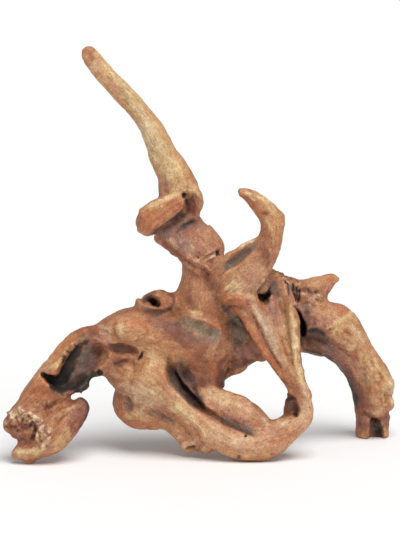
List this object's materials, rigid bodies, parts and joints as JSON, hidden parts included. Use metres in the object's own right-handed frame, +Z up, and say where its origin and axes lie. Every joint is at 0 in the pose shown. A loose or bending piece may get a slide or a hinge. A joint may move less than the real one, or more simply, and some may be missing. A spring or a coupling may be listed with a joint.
{
  "type": "driftwood",
  "caption": "Scoured root wood standing on its own feet, with a tall curved horn, a hooked claw, a hanging loop and arched arms, for an aquarium or terrarium.",
  "frame": {"origin": "on the ground under the middle of the wood's box", "axes": "+Z up, +Y away from the front view, +X to the right in the front view; the tall horn leans to -X and the far foot is at +X, +Y"},
  "size_m": [0.3902, 0.1408, 0.4085],
  "materials": {
    "weathered_wood": "dry scoured wood, red-brown to blond, grey in its hollows"
  },
  "bodies": {
    "root": {"driftwood": "weathered_wood"}
  },
  "joints": []
}
